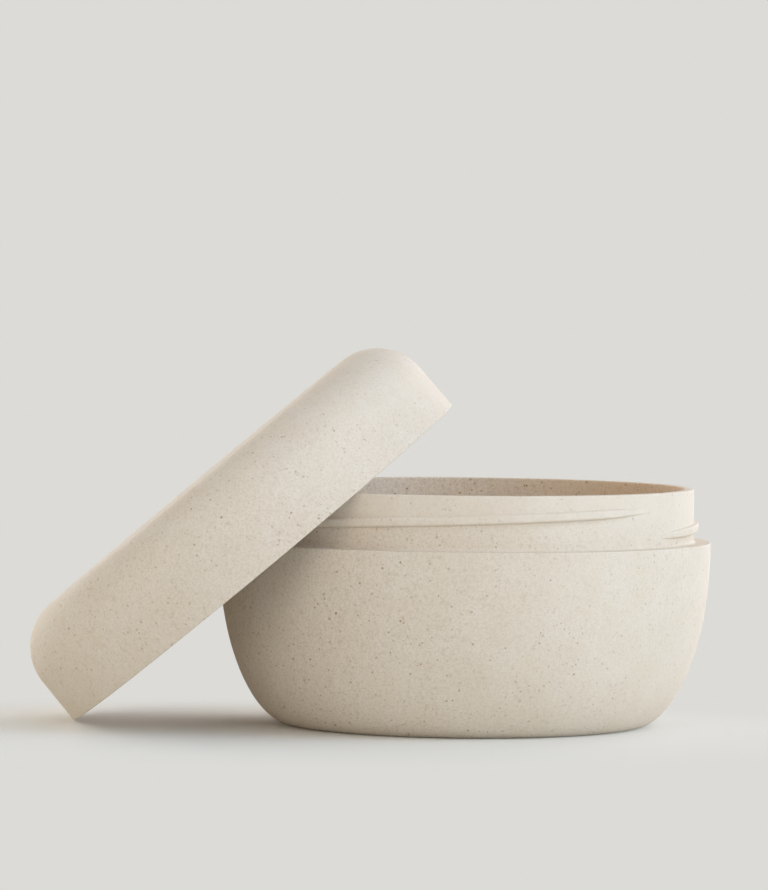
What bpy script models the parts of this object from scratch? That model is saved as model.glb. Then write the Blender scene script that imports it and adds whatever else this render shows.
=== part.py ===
# Storage pot with a two-start screw neck, and its screw lid, which is off and leans on the neck.
# Metres, +Z up. The origin is the middle of the pot's flat base, and the lid leans from the -X side.

import math

import bmesh
import bpy
import numpy as np
from mathutils import Matrix

# Bowl: a flat base, a side that swells up to a near upright shoulder, and a flat ledge round the neck
POT_RADIUS = 0.0600
SHOULDER_HEIGHT = 0.0448
BASE_RADIUS = 0.0432
SIDE_UPRIGHT_SHARE = 0.665  # of the shoulder height: the handle that keeps the side upright
FOOT_FLAT_SHARE = 0.37  # of the step from base to side: the handle that keeps the foot flat
LEDGE_WIDTH = 0.00415
SHOULDER_EDGE = 0.0003
FLOOR_THICKNESS = 0.0040
FOOT_WALL = 0.0055

# Neck: a plain wall that stands on the ledge and carries the thread
NECK_HEIGHT = 0.0130
NECK_WALL = 0.0024
NECK_ROOT = 0.0007
RIM_EDGE = 0.0003

# Thread: two right-hand ridges that climb a little under half a turn each, and fade into the wall
THREAD_STARTS = 2
THREAD_TURN_SHARE = 0.483  # of a full turn, for each ridge
THREAD_LOW_SHARE = 0.21  # of the neck's height: the middle of a ridge where it starts
THREAD_HIGH_SHARE = 0.695  # of the neck's height: the middle of a ridge where it ends
THREAD_FIRST_ANGLE = math.radians(145.7)  # round from +X, where the first ridge starts
RIDGE_HEIGHT = 0.0023
RIDGE_PROUD = 0.0012
RIDGE_ROOT = 0.0008
RIDGE_DIP = 0.0003
RIDGE_FADE_SHARE = 0.10  # of a ridge's length, at each end
# The ridge's section from inside the wall, round its crest: shares of how proud it is and of half its height
RIDGE_SECTION_SHARES = (
    (-0.3, -1.04),
    (0.6, -0.86),
    (0.94, -0.5),
    (1.0, 0.0),
    (0.94, 0.5),
    (0.6, 0.86),
    (-0.3, 1.04),
)

# Lid: a straight skirt as wide as the bowl, a round corner, and a flat top
LID_HEIGHT = 0.0255
LID_CORNER = 0.0136
LID_DRAFT = 0.0003
LID_WALL = 0.0026
LID_TOP = 0.0026
LID_EDGE = 0.0003

# How the two fit together, closed and as they stand
THREAD_PLAY = 0.0003
THREAD_CLEARANCE = 0.0005
SEAT_CLEARANCE = 0.0003
LEAN_CLEARANCE = 0.0002
LEAN_SHARE = 0.476  # of the neck's radius: how far short of the axis the lid's rim crosses the neck

# Looks: both pieces are moulded in one warm off-white composite
MOULDING_COLOUR = (0.70, 0.62, 0.49)
MOULDING_ROUGHNESS = 0.6

# Facets
TURN_STEPS = 72
CURVE_STEPS = 9
CORNER_STEPS = 7
EDGE_STEPS = 2
RIDGE_STEPS = 34
MERGE_DISTANCE = 0.000005
SHARP_ANGLE = math.radians(40.0)

# Sizes that follow from those above
NECK_RADIUS = POT_RADIUS - LEDGE_WIDTH
BORE_RADIUS = NECK_RADIUS - NECK_WALL
RIM_HEIGHT = SHOULDER_HEIGHT + NECK_HEIGHT
FLOOR_RADIUS = BASE_RADIUS - FOOT_WALL
LID_BORE_RADIUS = POT_RADIUS - LID_WALL
LID_RIDGE_PROUD = LID_BORE_RADIUS - NECK_RADIUS - THREAD_CLEARANCE
THREAD_RISE = NECK_HEIGHT * (THREAD_HIGH_SHARE - THREAD_LOW_SHARE)
THREAD_TURN = math.tau * THREAD_TURN_SHARE
THREAD_START_HEIGHT = NECK_HEIGHT * THREAD_LOW_SHARE
BACK_OFF_HEIGHT = RIDGE_HEIGHT + THREAD_PLAY + SEAT_CLEARANCE


def clear_scene():
    """Removes every object that the scene starts with."""
    for obj in list(bpy.data.objects):
        bpy.data.objects.remove(obj)


def collection_named(name):
    """A new collection, linked to the scene."""
    collection = bpy.data.collections.new(name)
    bpy.context.scene.collection.children.link(collection)
    return collection


def moulded_material(name):
    """The composite's matt finish, under a name of its own for each piece."""
    material = bpy.data.materials.new(name)
    material.use_nodes = True
    shader = material.node_tree.nodes["Principled BSDF"]
    shader.inputs["Base Color"].default_value = (*MOULDING_COLOUR, 1.0)
    shader.inputs["Roughness"].default_value = MOULDING_ROUGHNESS
    shader.inputs["Metallic"].default_value = 0.0
    return material


def curve_between(start, end, upright_share, flat_share, steps):
    """Cubic curve in the profile plane, upright at its start and flat at its end."""
    reach = start[0] - end[0]
    drop = start[1] - end[1]
    handles = (
        start,
        (start[0], start[1] - drop * upright_share),
        (end[0] + reach * flat_share, end[1]),
        end,
    )
    along = np.linspace(0.0, 1.0, steps + 1)[:, None]
    weights = np.hstack(
        (
            (1 - along) ** 3,
            3 * (1 - along) ** 2 * along,
            3 * (1 - along) * along**2,
            along**3,
        )
    )
    return [tuple(point) for point in weights @ np.array(handles)]


def rounded(outline):
    """Profile points from corners, each (radius, height, rounding, steps), with an arc at each rounding."""
    points = []
    for index, (radius, height, rounding, steps) in enumerate(outline):
        corner = np.array((radius, height))
        if rounding == 0.0:
            points.append(tuple(corner))
            continue
        before = np.array(outline[index - 1][:2]) - corner
        after = np.array(outline[index + 1][:2]) - corner
        before /= np.linalg.norm(before)
        after /= np.linalg.norm(after)
        half_angle = math.acos(float(before @ after)) / 2
        inward = (before + after) / np.linalg.norm(before + after)
        centre = corner + inward * rounding / math.sin(half_angle)
        tangent = rounding / math.tan(half_angle)
        first = corner + before * tangent - centre
        last = corner + after * tangent - centre
        sweep = math.pi - 2 * half_angle
        for step in range(steps + 1):
            share = step / steps
            spoke = first * math.sin((1 - share) * sweep) + last * math.sin(share * sweep)
            points.append(tuple(centre + spoke / math.sin(sweep)))
    return points


def turned(name, profile, collection, material):
    """A solid turned about Z from a profile that ends on the axis at both ends."""
    mesh = bpy.data.meshes.new(name)
    corners = [(radius, 0.0, height) for radius, height in profile]
    edges = [(index, index + 1) for index in range(len(corners) - 1)]
    mesh.from_pydata(corners, edges, [])
    mesh.materials.append(material)
    obj = bpy.data.objects.new(name, mesh)
    collection.objects.link(obj)
    turn = obj.modifiers.new("Turn", "SCREW")
    turn.steps = TURN_STEPS
    turn.render_steps = TURN_STEPS
    turn.use_merge_vertices = True
    turn.merge_threshold = MERGE_DISTANCE
    turn.use_smooth_shade = True
    return obj


def thread_ridge(name, wall_radius, proud, seat_height, first_angle, collection):
    """One ridge lofted along its helix, proud of the wall, or into the bore where proud is negative.

    Its section shrinks and dips under the wall's surface at both ends, and its root lies inside the wall.
    """
    share = np.linspace(0.0, 1.0, RIDGE_STEPS + 1)
    angle = (first_angle + share * THREAD_TURN)[:, None]
    middle = (seat_height + THREAD_START_HEIGHT + share * THREAD_RISE)[:, None]
    to_end = np.minimum(share, 1.0 - share) / RIDGE_FADE_SHARE
    full = np.sin(np.clip(to_end, 0.0, 1.0) * math.pi / 2)[:, None]
    section = np.array(RIDGE_SECTION_SHARES)
    side = math.copysign(1.0, proud)
    crest = abs(proud) * section[:, 0] * full - RIDGE_DIP * (1.0 - full)
    surface_radius = wall_radius + side * crest
    surface_height = middle + section[:, 1] * RIDGE_HEIGHT / 2 * (1.0 + full) / 2
    root_radius = np.full_like(surface_radius[:, :1], wall_radius - side * RIDGE_ROOT)
    radius = np.hstack((root_radius, surface_radius, root_radius))
    height = np.hstack((surface_height[:, :1], surface_height, surface_height[:, -1:]))
    points = np.stack((radius * np.cos(angle), radius * np.sin(angle), height), axis=2)

    mesh = bpy.data.meshes.new(name)
    build = bmesh.new()
    rings = [[build.verts.new(point) for point in ring] for ring in points]
    around = len(rings[0])
    for here, there in zip(rings, rings[1:]):
        for index in range(around):
            after = (index + 1) % around
            build.faces.new((here[index], there[index], there[after], here[after]))
    build.faces.new(rings[0])
    build.faces.new(reversed(rings[-1]))
    bmesh.ops.recalc_face_normals(build, faces=build.faces)
    build.to_mesh(mesh)
    build.free()
    obj = bpy.data.objects.new(name, mesh)
    obj.hide_render = True
    obj.display_type = "WIRE"
    collection.objects.link(obj)
    return obj


def join_threads(solid, wall_radius, proud, seat_height, first_angle, collection):
    """Joins every start of the thread to a solid's wall, at heights above where lid and ledge meet."""
    for start in range(THREAD_STARTS):
        name = f"{solid.name}_thread_{start + 1}"
        start_angle = first_angle + math.tau * start / THREAD_STARTS
        ridge = thread_ridge(name, wall_radius, proud, seat_height, start_angle, collection)
        ridge.parent = solid
        union = solid.modifiers.new(f"Thread {start + 1}", "BOOLEAN")
        union.operation = "UNION"
        union.solver = "MANIFOLD"
        union.object = ridge


def smooth_shaded(solid):
    """Applies the solid's modifiers and shades it smooth, apart from its sharp edges."""
    graph = bpy.context.evaluated_depsgraph_get()
    mesh = bpy.data.meshes.new_from_object(solid.evaluated_get(graph))
    solid.modifiers.clear()
    solid.data = mesh
    mesh.shade_smooth()
    mesh.set_sharp_from_angle(angle=SHARP_ANGLE)


def pot_profile():
    """The pot's section: floor, bore, rim, neck, ledge, side and base, from the axis to the axis."""
    inside = curve_between(
        (BORE_RADIUS, SHOULDER_HEIGHT),
        (FLOOR_RADIUS, FLOOR_THICKNESS),
        SIDE_UPRIGHT_SHARE,
        FOOT_FLAT_SHARE,
        CURVE_STEPS,
    )
    outside = curve_between(
        (POT_RADIUS, SHOULDER_HEIGHT - 2 * SHOULDER_EDGE),
        (BASE_RADIUS, 0.0),
        SIDE_UPRIGHT_SHARE,
        FOOT_FLAT_SHARE,
        CURVE_STEPS + 1,
    )
    outline = [(0.0, FLOOR_THICKNESS, 0.0, 0)]
    outline += [(radius, height, 0.0, 0) for radius, height in reversed(inside)]
    outline += [
        (BORE_RADIUS, RIM_HEIGHT, RIM_EDGE, EDGE_STEPS),
        (NECK_RADIUS, RIM_HEIGHT, RIM_EDGE, EDGE_STEPS),
        (NECK_RADIUS, SHOULDER_HEIGHT, NECK_ROOT, EDGE_STEPS),
        (POT_RADIUS, SHOULDER_HEIGHT, SHOULDER_EDGE, EDGE_STEPS),
    ]
    outline += [(radius, height, 0.0, 0) for radius, height in outside]
    outline += [(0.0, 0.0, 0.0, 0)]
    return rounded(outline)


def lid_profile():
    """The lid's section, from the middle of its top, down the skirt, round the rim and up inside."""
    return rounded(
        [
            (0.0, LID_HEIGHT, 0.0, 0),
            (POT_RADIUS - LID_DRAFT, LID_HEIGHT, LID_CORNER, CORNER_STEPS),
            (POT_RADIUS, 0.0, LID_EDGE, EDGE_STEPS),
            (LID_BORE_RADIUS, 0.0, LID_EDGE, EDGE_STEPS),
            (LID_BORE_RADIUS, LID_HEIGHT - LID_TOP, LID_CORNER - LID_WALL, CORNER_STEPS),
            (0.0, LID_HEIGHT - LID_TOP, 0.0, 0),
        ]
    )


def leaning_place():
    """The lid's place as it leans: its rim's outer edge on the table, its inner edge on the neck's rim.

    Both edges that meet are rounded, so they meet at the middle of their arcs, a clearance apart. The
    lid's rim crosses the neck's rim at two points, and its tilt is the one that puts the skirt's lowest
    point on the table.
    """
    arc_middle = 1 - math.sqrt(0.5)
    neck_touch_radius = NECK_RADIUS - RIM_EDGE * arc_middle + LEAN_CLEARANCE
    neck_touch_height = RIM_HEIGHT - RIM_EDGE * arc_middle + LEAN_CLEARANCE
    lid_touch_radius = LID_BORE_RADIUS + LID_EDGE * arc_middle
    lid_touch_depth = LID_EDGE * arc_middle
    across = -NECK_RADIUS * LEAN_SHARE
    sideways = math.sqrt(neck_touch_radius**2 - across**2)
    up_slope = math.sqrt(lid_touch_radius**2 - sideways**2)

    reach = up_slope + POT_RADIUS - LID_EDGE
    lift = LID_EDGE - lid_touch_depth
    rise = neck_touch_height - LID_EDGE
    tilt = math.asin(rise / math.hypot(reach, lift)) + math.atan2(lift, reach)

    centre_x = across - up_slope * math.cos(tilt) + lid_touch_depth * math.sin(tilt)
    centre_z = (POT_RADIUS - LID_EDGE) * math.sin(tilt) - LID_EDGE * math.cos(tilt) + LID_EDGE
    return Matrix.Translation((centre_x, 0.0, centre_z)) @ Matrix.Rotation(-tilt, 4, "Y")


def build_pot(parts, guides):
    """The bowl with its threaded neck, one moulding."""
    pot = turned("pot", pot_profile(), parts, moulded_material("pot_moulding"))
    join_threads(pot, NECK_RADIUS, RIDGE_PROUD, SHOULDER_HEIGHT, THREAD_FIRST_ANGLE, guides)
    return pot


def build_lid(parts, guides):
    """The cap, one moulding. When it is screwed down, its ridges lie just under the neck's."""
    lid = turned("screw_lid", lid_profile(), parts, moulded_material("lid_moulding"))
    turn_per_rise = THREAD_TURN / THREAD_RISE
    lid_first_angle = THREAD_FIRST_ANGLE + BACK_OFF_HEIGHT * turn_per_rise
    join_threads(lid, LID_BORE_RADIUS, -LID_RIDGE_PROUD, 0.0, lid_first_angle, guides)
    lid.matrix_world = leaning_place()
    return lid


clear_scene()
parts = collection_named("storage_pot")
guides = collection_named("guides")
pot = build_pot(parts, guides)
lid = build_lid(parts, guides)
bpy.context.view_layer.update()
smooth_shaded(pot)
smooth_shaded(lid)
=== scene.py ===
# Storage pot with a two-start screw neck, and its screw lid, which is off and leans on the neck.
# Metres, +Z up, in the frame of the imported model. The photograph looks along +Y, with +X to the right.

import math

import bpy
import numpy as np
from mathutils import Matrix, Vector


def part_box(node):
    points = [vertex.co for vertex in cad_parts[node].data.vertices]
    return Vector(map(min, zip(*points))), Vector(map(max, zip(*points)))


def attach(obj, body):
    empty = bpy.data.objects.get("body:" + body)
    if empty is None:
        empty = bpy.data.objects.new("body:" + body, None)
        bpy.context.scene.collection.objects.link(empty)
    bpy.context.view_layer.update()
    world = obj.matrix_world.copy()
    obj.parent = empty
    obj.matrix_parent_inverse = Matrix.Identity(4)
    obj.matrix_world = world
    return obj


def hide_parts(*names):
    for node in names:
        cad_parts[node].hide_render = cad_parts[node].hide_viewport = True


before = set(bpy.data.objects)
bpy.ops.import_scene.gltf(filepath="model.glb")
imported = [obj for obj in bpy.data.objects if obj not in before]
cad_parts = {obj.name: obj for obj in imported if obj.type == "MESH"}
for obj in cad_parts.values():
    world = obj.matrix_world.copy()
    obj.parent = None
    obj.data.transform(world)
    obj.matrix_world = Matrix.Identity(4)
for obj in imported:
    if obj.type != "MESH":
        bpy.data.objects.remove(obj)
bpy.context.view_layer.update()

# Camera
# The photograph is taken with a long lens, from a little above the height of the pot's rim. What it shows is
# turned clockwise by a little over half a degree.
SENSOR_LONG_SIDE = 36.0  # millimetres, along the 890 pixel side
LENS = 207.14  # millimetres
CAMERA_DISTANCE = 1.250
CAMERA_ELEVATION = 0.0335  # radians above level
CAMERA_ROLL = 0.0100  # radians
CAMERA_TARGET = np.array((-0.01990, 0.0, 0.06764))
NEAREST_SEEN = 0.05
FARTHEST_SEEN = 20.0


def camera_axes(elevation, roll):
    """Rows are the camera's right, up and backward axes.

    Level axes are tipped by the elevation, and then turned by the roll about the backward one.
    """
    right = np.array((1.0, 0.0, 0.0))
    up = np.array((0.0, math.sin(elevation), math.cos(elevation)))
    back = np.array((0.0, -math.cos(elevation), math.sin(elevation)))
    turned_right = right * math.cos(roll) + up * math.sin(roll)
    turned_up = up * math.cos(roll) - right * math.sin(roll)
    return np.array((turned_right, turned_up, back))


def added(name, data):
    """A new object in the scene, at the origin, unturned and unscaled."""
    thing = bpy.data.objects.new(name, data)
    bpy.context.scene.collection.objects.link(thing)
    return thing


def aim(thing, axes, place):
    """Puts a camera or a lamp at a place, with the rows of axes as its right, up and backward axes.

    The matrix is handed over transposed, because Blender takes its numbers column by column.
    """
    matrix = np.identity(4)
    matrix[:3, :3] = axes.T
    matrix[:3, 3] = place
    thing.matrix_world = matrix.T.tolist()


camera_data = bpy.data.cameras.new("camera")
camera_data.sensor_width = SENSOR_LONG_SIDE
camera_data.lens = LENS
camera_data.clip_start = NEAREST_SEEN
camera_data.clip_end = FARTHEST_SEEN
camera = added("camera", camera_data)
facing = camera_axes(CAMERA_ELEVATION, CAMERA_ROLL)
aim(camera, facing, CAMERA_TARGET + facing[2] * CAMERA_DISTANCE)
bpy.context.scene.camera = camera

# Pot
# One compression moulding in a stiff plant fibre composite: a bowl with a flat base, a flat ledge, and a
# neck that rises from the ledge and carries two raised right-hand threads. Its wall is matt and flecked.
pot_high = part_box("pot")[1]
POT_RADIUS = pot_high.x
RIM_HEIGHT = pot_high.z
SHOULDER_HEIGHT = 0.0448
BASE_RADIUS = 0.0432
SIDE_UPRIGHT_SHARE = 0.665  # of the side's height: the handle that keeps the side upright
FOOT_FLAT_SHARE = 0.37  # of the step from base to side: the handle that keeps the foot flat
LEDGE_WIDTH = 0.00415
SHOULDER_EDGE = 0.0003
FLOOR_THICKNESS = 0.0040
FOOT_WALL = 0.0055
NECK_WALL = 0.0024
NECK_ROOT_FILLET = 0.0007
RIM_EDGE = 0.0003
FLOOR_RADIUS = BASE_RADIUS - FOOT_WALL
NECK_RADIUS = POT_RADIUS - LEDGE_WIDTH
BORE_RADIUS = NECK_RADIUS - NECK_WALL
NECK_HEIGHT = RIM_HEIGHT - SHOULDER_HEIGHT

THREAD_STARTS = 2
THREAD_TURN_SHARE = 0.483  # of a full turn, for each ridge
THREAD_LOW_SHARE = 0.21  # of the neck's height: the middle of a ridge where it starts
THREAD_HIGH_SHARE = 0.695  # of the neck's height: the middle of a ridge where it ends
THREAD_FIRST_ANGLE = math.radians(145.7)  # round from +X, where the first ridge starts
THREAD_TURN = math.tau * THREAD_TURN_SHARE
THREAD_LOW = NECK_HEIGHT * THREAD_LOW_SHARE
THREAD_HIGH = NECK_HEIGHT * THREAD_HIGH_SHARE
RIDGE_HEIGHT = 0.0023
RIDGE_PROUD = 0.0012
RIDGE_CREST_SHARE = 0.84  # of the ridge's height: its flanks lean in to this at the crest
RIDGE_FADE_SHARE = 0.10  # of a ridge's length, at each end
RIDGE_ROOT_FILLET = 0.00022
RIDGE_CREST_ROUND = 0.00062
RIDGE_MARGIN = 0.0004  # of plain wall, over and under the ridge

TURN_COLUMNS = 384
turn_angle = np.arange(TURN_COLUMNS) * math.tau / TURN_COLUMNS


def eased_shares(rows):
    """A column of shares from 0 to 1, closer together near both ends: share = (1 - cos(pi t)) / 2."""
    return (1 - np.cos(np.linspace(0, math.pi, rows + 1)))[:, None] / 2


def straight(start, end, rows):
    """Points between two places, closer together near both ends: start + eased share x (end - start)."""
    return np.array(start) + eased_shares(rows) * (np.array(end) - np.array(start))


def curve_between(start, end, upright_share, flat_share, rows):
    """Cubic curve, upright at its start and flat at its end.

    Its four points are the start, a handle at a share of the rise straight over or under it, a handle at a
    share of the reach level with the end, and the end.
    """
    start = np.array(start)
    end = np.array(end)
    along = np.linspace(0, 1, rows + 1)[:, None]
    first_handle = start + (end - start) * (0, upright_share)
    last_handle = end + (start - end) * (flat_share, 0)
    return (
        (1 - along) ** 3 * start
        + 3 * (1 - along) ** 2 * along * first_handle
        + 3 * (1 - along) * along**2 * last_handle
        + along**3 * end
    )


def arc_at(before, corner, after, rounding, rows):
    """Arc that rounds a corner between two straight sides, from the side before it to the side after it.

    Its centre lies rounding / sin(half the corner's angle) inward, and its spokes turn from one side's
    normal to the other's.
    """
    corner = np.array(corner)
    to_before = np.array(before) - corner
    to_after = np.array(after) - corner
    to_before = to_before / np.linalg.norm(to_before)
    to_after = to_after / np.linalg.norm(to_after)
    half_angle = math.acos(float(to_before @ to_after)) / 2
    inward = (to_before + to_after) / np.linalg.norm(to_before + to_after)
    centre = corner + inward * rounding / math.sin(half_angle)
    tangent = rounding / math.tan(half_angle)
    first = corner + to_before * tangent - centre
    last = corner + to_after * tangent - centre
    sweep = math.pi - 2 * half_angle
    turn = np.linspace(0, sweep, rows + 1)[:, None]
    return centre + (first * np.sin(sweep - turn) + last * np.sin(turn)) / math.sin(sweep)


def joined(*pieces):
    """One outline from stretches that meet end to end, with each meeting point kept once."""
    rows = [pieces[0]]
    rows += [piece[1:] for piece in pieces[1:]]
    return np.concatenate(rows)


def ridge_section(proud):
    """The thread's section, from under it to over it, as (height from its middle, how far it stands out).

    Flat flanks lean in a little, the crest is rounded, and small fillets lead into the wall.
    """
    half = RIDGE_HEIGHT / 2
    crest = half * RIDGE_CREST_SHARE
    wall_low = (-half - RIDGE_MARGIN, 0.0)
    root_low = (-half, 0.0)
    crest_low = (-crest, proud)
    crest_high = (crest, proud)
    root_high = (half, 0.0)
    wall_high = (half + RIDGE_MARGIN, 0.0)
    root_under = arc_at(wall_low, root_low, crest_low, RIDGE_ROOT_FILLET, rows=5)
    crest_under = arc_at(root_low, crest_low, crest_high, RIDGE_CREST_ROUND, rows=7)
    crest_over = arc_at(crest_low, crest_high, root_high, RIDGE_CREST_ROUND, rows=7)
    root_over = arc_at(crest_high, root_high, wall_high, RIDGE_ROOT_FILLET, rows=5)
    return joined(
        straight(wall_low, root_under[0], rows=2),
        root_under,
        straight(root_under[-1], crest_under[0], rows=1),
        crest_under,
        straight(crest_under[-1], crest_over[0], rows=2),
        crest_over,
        straight(crest_over[-1], root_over[0], rows=1),
        root_over,
        straight(root_over[-1], wall_high, rows=2),
    )


def threaded_wall(wall_radius, proud, lowest, highest, base_height, first_angle):
    """Radius and height grids of a wall that carries the threads, from its lowest row to its highest.

    The rows of the ridge's section follow the helix, height = base + low + rise x turned share, and fade
    with sin at both ends. Past a ridge's end they swing back down to the next ridge's start, by the smooth
    step 3 t squared - 2 t cubed.
    """
    starts_apart = math.tau / THREAD_STARTS
    turned = np.mod(turn_angle - first_angle, starts_apart)
    share = turned / THREAD_TURN
    to_end = np.minimum(share, 1 - share) / RIDGE_FADE_SHARE
    full = np.sin(np.clip(to_end, 0, 1) * math.pi / 2)
    gap_share = np.clip((turned - THREAD_TURN) / (starts_apart - THREAD_TURN), 0, 1)
    swing = gap_share * gap_share * (3 - 2 * gap_share)
    middle = base_height + THREAD_LOW + (THREAD_HIGH - THREAD_LOW) * np.where(share < 1, share, 1 - swing)
    section = ridge_section(proud)
    ridge_radius = wall_radius + section[:, 1:] * full
    ridge_height = middle + section[:, :1] * (1 + full) / 2
    plain_shares = eased_shares(rows=7)
    under_height = lowest + (ridge_height[:1] - lowest) * plain_shares[:-1]
    over_height = ridge_height[-1:] + (highest - ridge_height[-1:]) * plain_shares[1:]
    height = np.concatenate((under_height, ridge_height, over_height))
    plain_under = np.full_like(under_height, wall_radius)
    plain_over = np.full_like(over_height, wall_radius)
    return np.concatenate((plain_under, ridge_radius, plain_over)), height


def turned_rows(outline):
    """Radius and height grids of a plain turned stretch: every column repeats the outline."""
    ones = np.ones((1, TURN_COLUMNS))
    return outline[:, :1] * ones, outline[:, 1:] * ones


def stacked(*grids):
    """Grids that meet row to row, with each meeting row kept once."""
    radius = joined(*(grid[0] for grid in grids))
    height = joined(*(grid[1] for grid in grids))
    return radius, height


def turned_mesh(name, radius, height, closed=True):
    """A skin from grids of radius and height: x = radius cos(angle), y = radius sin(angle).

    The first row lies on the axis, and becomes one point with a fan of triangles. So does the last row of a
    closed skin. An open one ends in a ring.
    """
    ring_rows = slice(1, -1) if closed else slice(1, None)
    x = radius[ring_rows] * np.cos(turn_angle)
    y = radius[ring_rows] * np.sin(turn_angle)
    ring_points = np.stack((x, y, height[ring_rows]), axis=2).reshape(-1, 3)
    index = np.arange(x.size).reshape(x.shape)
    ahead = np.roll(index, -1, axis=1)
    quads = np.stack((index[:-1], index[1:], ahead[1:], ahead[:-1]), axis=2).reshape(-1, 4)
    first_index = np.full(TURN_COLUMNS, x.size)
    first_fan = np.stack((first_index, index[0], ahead[0]), axis=1)
    poles = [(0.0, 0.0, height[0, 0])]
    faces = quads.tolist() + first_fan.tolist()
    if closed:
        last_fan = np.stack((first_index + 1, ahead[-1], index[-1]), axis=1)
        poles.append((0.0, 0.0, height[-1, 0]))
        faces += last_fan.tolist()
    mesh = bpy.data.meshes.new(name)
    mesh.from_pydata(np.concatenate((ring_points, poles)).tolist(), [], faces)
    mesh.shade_smooth()
    return mesh


floor_edge = (FLOOR_RADIUS, FLOOR_THICKNESS)
bore_foot = (BORE_RADIUS, SHOULDER_HEIGHT)
bore_top = (BORE_RADIUS, RIM_HEIGHT)
neck_top = (NECK_RADIUS, RIM_HEIGHT)
neck_root = (NECK_RADIUS, SHOULDER_HEIGHT)
shoulder = (POT_RADIUS, SHOULDER_HEIGHT)
side_top = (POT_RADIUS, SHOULDER_HEIGHT - 2 * SHOULDER_EDGE)
base_edge = (BASE_RADIUS, 0.0)
pot_inside = curve_between(bore_foot, floor_edge, SIDE_UPRIGHT_SHARE, FOOT_FLAT_SHARE, rows=44)[::-1]
rim_inner = arc_at(bore_foot, bore_top, neck_top, RIM_EDGE, rows=8)
rim_outer = arc_at(bore_top, neck_top, neck_root, RIM_EDGE, rows=8)
root_arc = arc_at(neck_top, neck_root, shoulder, NECK_ROOT_FILLET, rows=6)
shoulder_arc = arc_at(neck_root, shoulder, side_top, SHOULDER_EDGE, rows=8)
pot_side = curve_between(side_top, base_edge, SIDE_UPRIGHT_SHARE, FOOT_FLAT_SHARE, rows=60)

inside_rows = turned_rows(
    joined(
        straight((0.0, FLOOR_THICKNESS), floor_edge, rows=8),
        pot_inside,
        straight(bore_foot, rim_inner[0], rows=8),
        rim_inner,
        straight(rim_inner[-1], rim_outer[0], rows=3),
        rim_outer,
    )
)
neck_radius_rows, neck_height_rows = threaded_wall(
    NECK_RADIUS, RIDGE_PROUD, root_arc[0, 1], rim_outer[-1, 1], SHOULDER_HEIGHT, THREAD_FIRST_ANGLE
)
outside_rows = turned_rows(
    joined(
        root_arc,
        straight(root_arc[-1], shoulder_arc[0], rows=6),
        shoulder_arc,
        straight(shoulder_arc[-1], side_top, rows=2),
        pot_side,
        straight(base_edge, (0.0, 0.0), rows=8),
    )
)
pot_grids = stacked(inside_rows, (neck_radius_rows[::-1], neck_height_rows[::-1]), outside_rows)
pot = added("pot_moulding_skin", turned_mesh("pot_moulding_skin", *pot_grids))


class Field:
    """One socket of a material's nodes. Arithmetic on it adds Math nodes to the same tree."""

    def __init__(self, tree, socket=None):
        """Holds a tree and one of its output sockets, or the tree alone."""
        self.tree = tree
        self.socket = socket

    def node(self, kind, settings=None, values=None, output=0):
        """Adds a node of a type, sets its settings, then gives its sockets values or links."""
        made = self.tree.nodes.new(kind)
        for name, value in (settings or {}).items():
            setattr(made, name, value)
        for name, value in (values or {}).items():
            if isinstance(value, Field):
                self.tree.links.new(value.socket, made.inputs[name])
            else:
                made.inputs[name].default_value = value
        return Field(self.tree, made.outputs[output])

    def beside(self, output):
        """Another output of the node that this socket belongs to."""
        return Field(self.tree, self.socket.node.outputs[output])

    def maths(self, operation, first, second=0.0):
        """One Math node on two numbers or fields, or on the first alone where the operation takes one."""
        return self.node("ShaderNodeMath", {"operation": operation}, {0: first, 1: second})

    def __add__(self, other):
        return self.maths("ADD", self, other)

    def __radd__(self, other):
        return self.maths("ADD", other, self)

    def __sub__(self, other):
        return self.maths("SUBTRACT", self, other)

    def __rsub__(self, other):
        return self.maths("SUBTRACT", other, self)

    def __mul__(self, other):
        return self.maths("MULTIPLY", self, other)

    def __rmul__(self, other):
        return self.maths("MULTIPLY", other, self)

    def __gt__(self, other):
        return self.maths("GREATER_THAN", self, other)

    def smooth_step(self, low, high):
        """0 below low and 1 above high, with an easy bend between."""
        settings = {"interpolation_type": "SMOOTHSTEP"}
        values = {"Value": self, "From Min": low, "From Max": high}
        return self.node("ShaderNodeMapRange", settings, values)

    def blended(self, first, second):
        """A colour that is first where this field is 0 and second where it is 1.

        A Mix node keeps its two colours at inputs 6 and 7, and the mixed colour at output 2.
        """
        values = {0: self, 6: first, 7: second}
        return self.node("ShaderNodeMix", {"data_type": "RGBA"}, values, output=2)


MILLIMETRE = 0.001
POT_PATTERN_OFFSET = (0.0, 0.0, 0.0)
GROUND_PALE = (0.766, 0.676, 0.556, 1)
GROUND_WARM = (0.750, 0.650, 0.522, 1)
# Painted shade: a warm tan that stands for light bounced round the pot's hollow.
PAINTED_BOUNCE_TAN = (0.84, 0.65, 0.46, 1)
FLECK_BROWN = (0.33, 0.18, 0.060, 1)
FLECK_GREY = (0.24, 0.20, 0.125, 1)
FLECK_DARK = (0.11, 0.060, 0.022, 1)
FLECK_OCHRE = (0.46, 0.27, 0.10, 1)
FIBRE_BROWN = (0.41, 0.31, 0.18, 1)
GRAIN_DEPTH = 0.17
SMUDGE_DEPTH = 0.16
FIBRE_DEPTH = 0.20
FIBRE_STRETCH = (0.14, 1.0, 1.0)
FIBRE_THIN_SHARE = 0.6
DUST_DEPTH = 0.04
DUST_SPREAD = 0.26
DUST_IN_CLUSTERS = 0.14
FINE_DEPTH = 0.10
FINE_SPREAD = 0.48
FINE_IN_CLUSTERS = 0.20
OCHRE_DEPTH = 0.25
OCHRE_SPREAD = 0.5
DARK_DEPTH = 0.20
DARK_SPREAD = 0.5
LEAST_ROUGHNESS = 0.72
ROUGHNESS_CHANGE = 0.10
TOOTH_HEIGHT = 0.03 * MILLIMETRE
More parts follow.
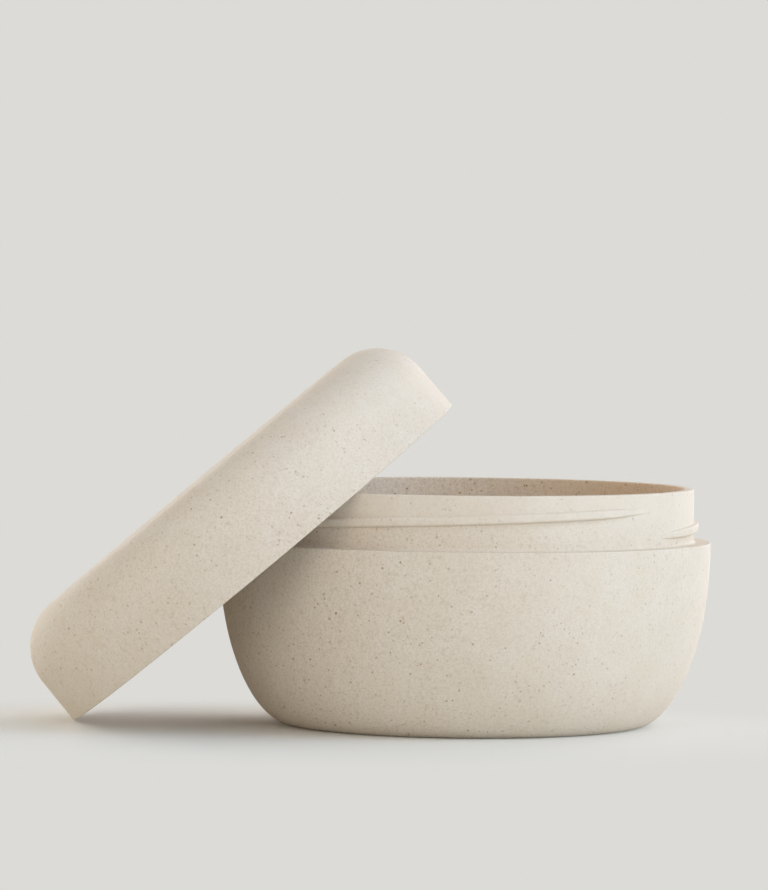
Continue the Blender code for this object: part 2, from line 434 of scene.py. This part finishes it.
TOOTH_STRENGTH = 0.5
SPECULAR_LEVEL = 0.2

# Where the pot's flecks and its painted tan change, along X and up the neck, and by how much. The change
# along X is painted light: flecks stronger on the shaded left side and weaker on the lit right, and the
# painted tan of bounced light in the hollow stronger to the right.
PAINTED_LIGHT_FROM_X = -0.045
PAINTED_LIGHT_TO_X = 0.055
CHANGE_FROM_HEIGHT = SHOULDER_HEIGHT + 0.003
CHANGE_TO_HEIGHT = SHOULDER_HEIGHT + 0.008
# Painted light: the pot's flecks are stronger on its shaded left side and weaker on its lit right.
PAINTED_SHADE_FLECKS_AT_LEFT = 1.28
FLECKS_LOST_TO_PAINTED_LIGHT_AT_RIGHT = 0.60
FLECKS_LOST_ON_NECK = 0.5
FLECKS_GAINED_IN_MOUTH = 0.35
# Width over which the painted tan of bounced light fades out inside the wall.
PAINTED_BOUNCE_EDGE = 0.0005


def flecks(vector, cell, share, smallest, largest, soft):
    """Mask of round-ish spots with mixed radii, in a share of the cells of a given width, in millimetres.

    Each spot is 1 where its cell's distance is below its radius, and fades over the soft width at its edge.
    Also gives each cell's own number between 0 and 1, to make some spots darker than others.
    """
    cells = {"Vector": vector, "Scale": 1 / cell, "Randomness": 1.0}
    distance = vector.node("ShaderNodeTexVoronoi", values=cells, output="Distance")
    chance = vector.node("ShaderNodeSeparateColor", values={"Color": distance.beside("Color")})
    size = chance.beside("Green")
    number = chance.beside("Blue")
    radius = (size * (largest - smallest) + smallest) * (1 / cell)
    spot = (radius - distance).smooth_step(0.0, soft / cell)
    return spot * (chance > 1 - share), number


def pot_fleck_and_painted_shade_share(place):
    """How strong the pot's flecks are: less from the left side to the right, which is painted light, stronger
    on the shaded side and weaker on the lit one, and least outside on the neck.

    Inside, they are a little stronger at the neck's height.
    """
    x = place.node("ShaderNodeSeparateXYZ", values={"Vector": place}, output="X")
    y = x.beside("Y")
    rightward = x.smooth_step(PAINTED_LIGHT_FROM_X, PAINTED_LIGHT_TO_X)
    outside = x * x + y * y > (NECK_RADIUS - NECK_WALL / 2) ** 2
    high = x.beside("Z").smooth_step(CHANGE_FROM_HEIGHT, CHANGE_TO_HEIGHT)
    # Painted light: flecks stronger on the shaded left, weaker on the lit right.
    along = PAINTED_SHADE_FLECKS_AT_LEFT - rightward * FLECKS_LOST_TO_PAINTED_LIGHT_AT_RIGHT
    on_neck = 1 - high * outside * FLECKS_LOST_ON_NECK
    in_mouth = high * (1 - outside) * FLECKS_GAINED_IN_MOUTH
    return along * on_neck + in_mouth


def pot_painted_bounce_share(place):
    """How much painted tan the pot's ground takes, a painted shade for warm light bounced round its hollow:
    only in its hollow, and more there from the left side to the right.

    The hollow's limit runs up inside the wall, at a radius of foot + (neck - foot) x swell, where swell is
    sqrt(1 - (1 - height / shoulder) squared).
    """
    x = place.node("ShaderNodeSeparateXYZ", values={"Vector": place}, output="X")
    y = x.beside("Y")
    z = x.beside("Z")
    foot = BASE_RADIUS - FOOT_WALL / 2
    neck = NECK_RADIUS - NECK_WALL / 2
    from_shoulder = 1 - z * (1 / SHOULDER_HEIGHT)
    swell = x.maths("SQRT", 1 - from_shoulder * from_shoulder)
    inward = swell * (neck - foot) + foot - x.maths("SQRT", x * x + y * y)
    # Painted shade: the hollow takes a warm tan for light bounced round it, more to the right.
    hollow = inward.smooth_step(0.0, PAINTED_BOUNCE_EDGE) * (z > FLOOR_THICKNESS / 2)
    return hollow * x.smooth_step(PAINTED_LIGHT_FROM_X, PAINTED_LIGHT_TO_X)


def fibre_composite(name, offset, fleck_and_painted_shade_share, painted_bounce_share=None):
    """Matt moulded fibre composite: a warm ground, faint clouds and fibres, brown flecks and a few dark ones.

    Every fleck, fibre and grain is mixed in by its own depth times the share that
    fleck_and_painted_shade_share gives there; on the pot that share is partly painted light, stronger on the
    shaded left side and weaker on the lit right.
    A fleck's depth is its kind's least, and more by the fleck's own number and, in dust and fine flecks,
    where they cluster. Where painted_bounce_share is given, it says how much of a painted tan shows, a
    painted shade for warm light bounced round the hollow. All patterns are in millimetres, and the offset
    moves them, so that the two pieces don't show the same ones.
    """
    material = bpy.data.materials.new(name)
    material.use_nodes = True
    tree = material.node_tree
    shader = tree.nodes["Principled BSDF"]
    place = Field(tree).node("ShaderNodeTexCoord", output="Object")
    mapping = {"Vector": place, "Location": offset, "Scale": (1 / MILLIMETRE,) * 3}
    point = place.node("ShaderNodeMapping", values=mapping)
    # On the pot this strength is partly painted light: flecks stronger on the shaded left, weaker on the lit
    # right.
    strength = fleck_and_painted_shade_share(place)

    def noise(scale, detail, roughness=0.6, output=0):
        """A noise all through the piece, with about so many waves to a millimetre."""
        values = {"Vector": point, "Scale": scale, "Detail": detail, "Roughness": roughness}
        return point.node("ShaderNodeTexNoise", values=values, output=output)

    def bent(amount, scale):
        """The pattern's place, moved by a slow noise, so that nothing in it is quite straight or round."""
        drift = noise(scale, detail=1.0, roughness=0.5, output="Color")
        values = {0: drift, 1: (amount,) * 3, 2: point}
        return point.node("ShaderNodeVectorMath", {"operation": "MULTIPLY_ADD"}, values)

    def strands(turn, cell, share, width):
        """Spots drawn out to thin short strands: the pattern's cells are stretched 7 times along one axis."""
        values = {"Vector": bent(amount=2.0, scale=0.25), "Rotation": turn, "Scale": FIBRE_STRETCH}
        along = point.node("ShaderNodeMapping", values=values)
        thin = width * FIBRE_THIN_SHARE
        return flecks(along, cell, share, smallest=thin, largest=width, soft=thin)[0]

    def speckled(ground, mask, depth, colour):
        """A ground with a colour mixed in where the mask is, by its depth and the flecks' strength there."""
        return (mask * strength * depth).blended(ground, colour)

    clouds = noise(scale=0.11, detail=2.0).smooth_step(low=0.30, high=0.70)
    coloured = clouds.blended(GROUND_PALE, GROUND_WARM)
    # Painted shade: a warm tan for light bounced round the pot's hollow, mixed into the ground.
    if painted_bounce_share:
        coloured = painted_bounce_share(place).blended(coloured, PAINTED_BOUNCE_TAN)
    grain = noise(scale=1.9, detail=2.0).smooth_step(low=0.38, high=0.64)
    coloured = speckled(coloured, grain, GRAIN_DEPTH, FIBRE_BROWN)
    smudges = noise(scale=0.8, detail=3.0).smooth_step(low=0.52, high=0.76)
    coloured = speckled(coloured, smudges, SMUDGE_DEPTH, FLECK_BROWN)
    first_fibres = strands(turn=(0.3, 0.5, 0.9), cell=1.1, share=0.35, width=0.14)
    crossing_fibres = strands(turn=(1.2, -0.6, 2.3), cell=1.3, share=0.35, width=0.14)
    coloured = speckled(coloured, first_fibres + crossing_fibres, FIBRE_DEPTH, FIBRE_BROWN)

    clusters = noise(scale=0.075, detail=1.0).smooth_step(low=0.38, high=0.66)
    wavy = bent(amount=0.5, scale=1.8)
    dust, number = flecks(wavy, cell=0.62, share=0.9, smallest=0.07, largest=0.19, soft=0.08)
    dust_depth = number * DUST_SPREAD + clusters * DUST_IN_CLUSTERS + DUST_DEPTH
    coloured = speckled(coloured, dust, dust_depth, FLECK_GREY)
    fine, number = flecks(wavy, cell=1.25, share=0.85, smallest=0.10, largest=0.38, soft=0.14)
    fine_depth = number * number * FINE_SPREAD + clusters * FINE_IN_CLUSTERS + FINE_DEPTH
    coloured = speckled(coloured, fine, fine_depth, FLECK_BROWN)
    ochre, number = flecks(wavy, cell=3.4, share=0.45, smallest=0.14, largest=0.38, soft=0.14)
    coloured = speckled(coloured, ochre, number * OCHRE_SPREAD + OCHRE_DEPTH, FLECK_OCHRE)
    dark, number = flecks(wavy, cell=3.3, share=0.42, smallest=0.13, largest=0.38, soft=0.12)
    coloured = speckled(coloured, dark, number * number * DARK_SPREAD + DARK_DEPTH, FLECK_DARK)
    tree.links.new(coloured.socket, shader.inputs["Base Color"])

    tooth = noise(scale=1.6, detail=4.0)
    roughness = tooth * ROUGHNESS_CHANGE + LEAST_ROUGHNESS
    tree.links.new(roughness.socket, shader.inputs["Roughness"])
    bump_values = {"Height": tooth, "Strength": TOOTH_STRENGTH, "Distance": TOOTH_HEIGHT}
    bump = point.node("ShaderNodeBump", values=bump_values)
    tree.links.new(bump.socket, shader.inputs["Normal"])
    shader.inputs["Specular IOR Level"].default_value = SPECULAR_LEVEL
    return material


# The pot's material carries painted light: flecks that change from the shaded left to the lit right, and a
# painted tan of bounced light in its hollow.
pot_composite = fibre_composite("pot_composite", POT_PATTERN_OFFSET, pot_fleck_and_painted_shade_share, pot_painted_bounce_share)
pot.data.materials.append(pot_composite)
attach(pot, "pot_body")
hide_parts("pot")

# Screw lid
# One moulding in the same composite: a flat top, a round corner and a straight skirt as wide as the bowl.
# Inside, two ridges match the neck's threads. It leans on the neck's rim, with its own rim on the table.
LID_HEIGHT = 0.0255
LID_CORNER = 0.0136
LID_DRAFT = 0.0003
LID_WALL = 0.0026
LID_EDGE = 0.0003
THREAD_PLAY = 0.0003
THREAD_CLEARANCE = 0.0005
SEAT_CLEARANCE = 0.0003
LEAN_CLEARANCE = 0.0002
LEAN_SHARE = 0.476  # of the neck's radius: how far short of the axis the lid's rim crosses the neck
LID_BORE_RADIUS = POT_RADIUS - LID_WALL
LID_RIDGE_PROUD = LID_BORE_RADIUS - NECK_RADIUS - THREAD_CLEARANCE
BACK_OFF_HEIGHT = RIDGE_HEIGHT + THREAD_PLAY + SEAT_CLEARANCE  # the closed lid's ridges, under the neck's

LID_PATTERN_OFFSET = (17.0, 5.0, 31.0)
LID_CHANGE_FROM_HEIGHT = 0.055
LID_CHANGE_TO_HEIGHT = 0.085
LID_FLECKS_LOST = 0.35

lid_top = (0.0, LID_HEIGHT)
lid_outer_corner = (POT_RADIUS - LID_DRAFT, LID_HEIGHT)
lid_foot = (POT_RADIUS, 0.0)
lid_bore_foot = (LID_BORE_RADIUS, 0.0)
lid_bore_corner = (LID_BORE_RADIUS, LID_HEIGHT - LID_WALL)
lid_bore_top = (0.0, LID_HEIGHT - LID_WALL)
lid_corner_arc = arc_at(lid_top, lid_outer_corner, lid_foot, LID_CORNER, rows=30)
lid_foot_arc = arc_at(lid_outer_corner, lid_foot, lid_bore_foot, LID_EDGE, rows=8)
lid_inner_arc = arc_at(lid_foot, lid_bore_foot, lid_bore_corner, LID_EDGE, rows=8)
lid_ceiling_arc = arc_at(lid_bore_foot, lid_bore_corner, lid_bore_top, LID_CORNER - LID_WALL, rows=24)

lid_outside_rows = turned_rows(
    joined(
        straight(lid_top, lid_corner_arc[0], rows=10),
        lid_corner_arc,
        straight(lid_corner_arc[-1], lid_foot_arc[0], rows=10),
        lid_foot_arc,
        straight(lid_foot_arc[-1], lid_inner_arc[0], rows=3),
        lid_inner_arc,
    )
)
lid_first_angle = THREAD_FIRST_ANGLE + BACK_OFF_HEIGHT * THREAD_TURN / (THREAD_HIGH - THREAD_LOW)
lid_thread_rows = threaded_wall(
    LID_BORE_RADIUS, -LID_RIDGE_PROUD, LID_EDGE, lid_ceiling_arc[0, 1], 0.0, lid_first_angle
)
lid_inside_rows = turned_rows(
    joined(lid_ceiling_arc, straight(lid_ceiling_arc[-1], lid_bore_top, rows=8))
)
lid_mesh = turned_mesh("screw_lid_skin", *stacked(lid_outside_rows, lid_thread_rows, lid_inside_rows))


def leaning_place():
    """Tilt and rim centre of the lid as it leans: outer edge on the table, inner edge on the neck's rim.

    Both edges that meet are rounded, so they meet at the middle of their arcs, a clearance apart. The
    lid's rim crosses the neck's rim at two points, and its tilt is the one that puts the skirt's lowest
    point on the table.
    """
    arc_middle = 1 - math.sqrt(0.5)
    neck_touch_radius = NECK_RADIUS - RIM_EDGE * arc_middle + LEAN_CLEARANCE
    neck_touch_height = RIM_HEIGHT - RIM_EDGE * arc_middle + LEAN_CLEARANCE
    lid_touch_radius = LID_BORE_RADIUS + LID_EDGE * arc_middle
    lid_touch_depth = LID_EDGE * arc_middle
    across = -NECK_RADIUS * LEAN_SHARE
    sideways = math.sqrt(neck_touch_radius**2 - across**2)
    up_slope = math.sqrt(lid_touch_radius**2 - sideways**2)

    reach = up_slope + POT_RADIUS - LID_EDGE
    lift = LID_EDGE - lid_touch_depth
    rise = neck_touch_height - LID_EDGE
    tilt = math.asin(rise / math.hypot(reach, lift)) + math.atan2(lift, reach)

    centre_x = across - up_slope * math.cos(tilt) + lid_touch_depth * math.sin(tilt)
    centre_z = (POT_RADIUS - LID_EDGE) * math.sin(tilt) - LID_EDGE * math.cos(tilt) + LID_EDGE
    return tilt, np.array((centre_x, 0.0, centre_z))


def lean(mesh, tilt, centre):
    """Turns a mesh about Y, so that its axis leans towards -X, and moves it to its centre.

    The turn is one matrix product over all points.
    """
    points = np.empty(len(mesh.vertices) * 3)
    mesh.vertices.foreach_get("co", points)
    turn = np.array(
        (
            (math.cos(tilt), 0.0, -math.sin(tilt)),
            (0.0, 1.0, 0.0),
            (math.sin(tilt), 0.0, math.cos(tilt)),
        )
    )
    placed = points.reshape(-1, 3) @ turn.T + centre
    mesh.vertices.foreach_set("co", placed.ravel())
    mesh.update()


def lid_fleck_share(place):
    """How strong the lid's flecks are: a little less where it stands highest."""
    z = place.node("ShaderNodeSeparateXYZ", values={"Vector": place}, output="Z")
    return 1 - z.smooth_step(LID_CHANGE_FROM_HEIGHT, LID_CHANGE_TO_HEIGHT) * LID_FLECKS_LOST


lean(lid_mesh, *leaning_place())
lid = added("screw_lid_skin", lid_mesh)
lid.data.materials.append(fibre_composite("lid_composite", LID_PATTERN_OFFSET, lid_fleck_share))
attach(lid, "lid_body")
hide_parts("screw_lid")

# Floor and backdrop
# A plain pale sweep under and round the object: flat below it, and curved up to a wall far from it. Near the
# object it takes the light and the shadow. Farther out the camera sees it in one even colour.
STAGE_FLAT_RADIUS = 2.2
STAGE_CORNER = 0.8
STAGE_WALL = 3.0
STAGE_RADIUS = STAGE_FLAT_RADIUS + STAGE_CORNER
STAGE_COLOUR = (0.848, 0.825, 0.756, 1)
STAGE_ROUGHNESS = 0.9
STAGE_SPECULAR_LEVEL = 0.1
BACKDROP_COLOUR = (0.716, 0.708, 0.679, 1)
SHADE_CENTRE = (-0.060, -0.030, 0.0)
SHADE_NARROWING = (0.5, 1.0, 1.0)
EVEN_FROM = 0.020
EVEN_BEYOND = 0.100

sweep_middle = (0.0, 0.0)
sweep_top = (STAGE_RADIUS, STAGE_WALL)
sweep_arc = arc_at(sweep_middle, (STAGE_RADIUS, 0.0), sweep_top, STAGE_CORNER, rows=16)
sweep_outline = joined(
    straight(sweep_middle, sweep_arc[0], rows=12),
    sweep_arc,
    straight(sweep_arc[-1], sweep_top, rows=4),
)


def stage_paper():
    """Matt paper near the object. Beyond it, the camera sees a plain glow of the backdrop's colour instead.

    So do glossy and transmitted rays. The glow comes in with the distance from the middle of the shade, with
    X counted half.
    """
    material = bpy.data.materials.new("stage_paper")
    material.use_nodes = True
    tree = material.node_tree
    paper = tree.nodes["Principled BSDF"]
    paper.inputs["Base Color"].default_value = STAGE_COLOUR
    paper.inputs["Roughness"].default_value = STAGE_ROUGHNESS
    paper.inputs["Specular IOR Level"].default_value = STAGE_SPECULAR_LEVEL
    place = Field(tree).node("ShaderNodeTexCoord", output="Object")
    away = place.node("ShaderNodeVectorMath", {"operation": "SUBTRACT"}, {0: place, 1: SHADE_CENTRE})
    narrowed = place.node("ShaderNodeVectorMath", {"operation": "MULTIPLY"}, {0: away, 1: SHADE_NARROWING})
    reach = place.node("ShaderNodeVectorMath", {"operation": "LENGTH"}, {0: narrowed}, output="Value")
    camera_ray = place.node("ShaderNodeLightPath", output="Is Camera Ray")
    seen = camera_ray + camera_ray.beside("Is Glossy Ray") + camera_ray.beside("Is Transmission Ray")
    even = reach.smooth_step(EVEN_FROM, EVEN_BEYOND) * seen
    glow = place.node("ShaderNodeEmission", values={"Color": BACKDROP_COLOUR, "Strength": 1.0})
    body = Field(tree, paper.outputs["BSDF"])
    mixed = place.node("ShaderNodeMixShader", values={0: even, 1: body, 2: glow})
    tree.links.new(mixed.socket, tree.nodes["Material Output"].inputs["Surface"])
    return material


stage = added("stage", turned_mesh("stage", *turned_rows(sweep_outline), closed=False))
stage.data.materials.append(stage_paper())

# Light
# Seven soft boxes: three cool ones on the right, one of them high, two weak ones on the left, and two nearly
# plain ones behind, which light the rim, the inside and the lid's top. The pale room fills from all sides.
ROOM_COLOUR = (0.99, 1.0, 1.07, 1)
ROOM_STRENGTH = 0.50
LAMP_AIM = np.array((-0.02, 0.0, 0.045))
LAMP_DISTANCE = 1.5
LAMP_SIDE = 0.8
LOW_BOX = 12  # degrees up
HIGH_BOX = 40  # degrees up

world = bpy.data.worlds.new("room")
world.use_nodes = True
background = world.node_tree.nodes["Background"]
background.inputs["Color"].default_value = ROOM_COLOUR
background.inputs["Strength"].default_value = ROOM_STRENGTH
bpy.context.scene.world = world


def soft_box(name, azimuth, elevation, power, tint):
    """A square area lamp that faces the object, from so many degrees round and up. 0 is +X, and 90 is -Y.

    Its backward axis is (cos up cos round, -cos up sin round, sin up).
    """
    data = bpy.data.lights.new(name, "AREA")
    data.shape = "SQUARE"
    data.size = LAMP_SIDE
    data.energy = power
    data.color = tint
    lamp = added(name, data)
    lamp.visible_camera = False
    turn = math.radians(azimuth)
    rise = math.radians(elevation)
    back = np.array((math.cos(rise) * math.cos(turn), -math.cos(rise) * math.sin(turn), math.sin(rise)))
    right = np.cross((0.0, 0.0, 1.0), back)
    right = right / np.linalg.norm(right)
    aim(lamp, np.array((right, np.cross(back, right), back)), LAMP_AIM + back * LAMP_DISTANCE)


soft_box("front_right_box", azimuth=60, elevation=LOW_BOX, power=5.1, tint=(0.80, 1.0, 1.25))
soft_box("right_box", azimuth=0, elevation=LOW_BOX, power=5.8, tint=(0.80, 1.0, 1.27))
soft_box("high_right_box", azimuth=30, elevation=HIGH_BOX, power=5.2, tint=(0.84, 1.0, 1.28))
soft_box("front_left_box", azimuth=120, elevation=LOW_BOX, power=2.2, tint=(1.20, 1.0, 0.90))
soft_box("left_box", azimuth=180, elevation=LOW_BOX, power=2.6, tint=(0.82, 1.0, 1.08))
soft_box("back_left_box", azimuth=-120, elevation=LOW_BOX, power=8.6, tint=(1.04, 1.0, 1.02))
soft_box("back_right_box", azimuth=-60, elevation=LOW_BOX, power=8.8, tint=(1.10, 1.0, 1.02))

# Colours are shown as they are, with no film curve.
bpy.context.scene.view_settings.view_transform = "Standard"
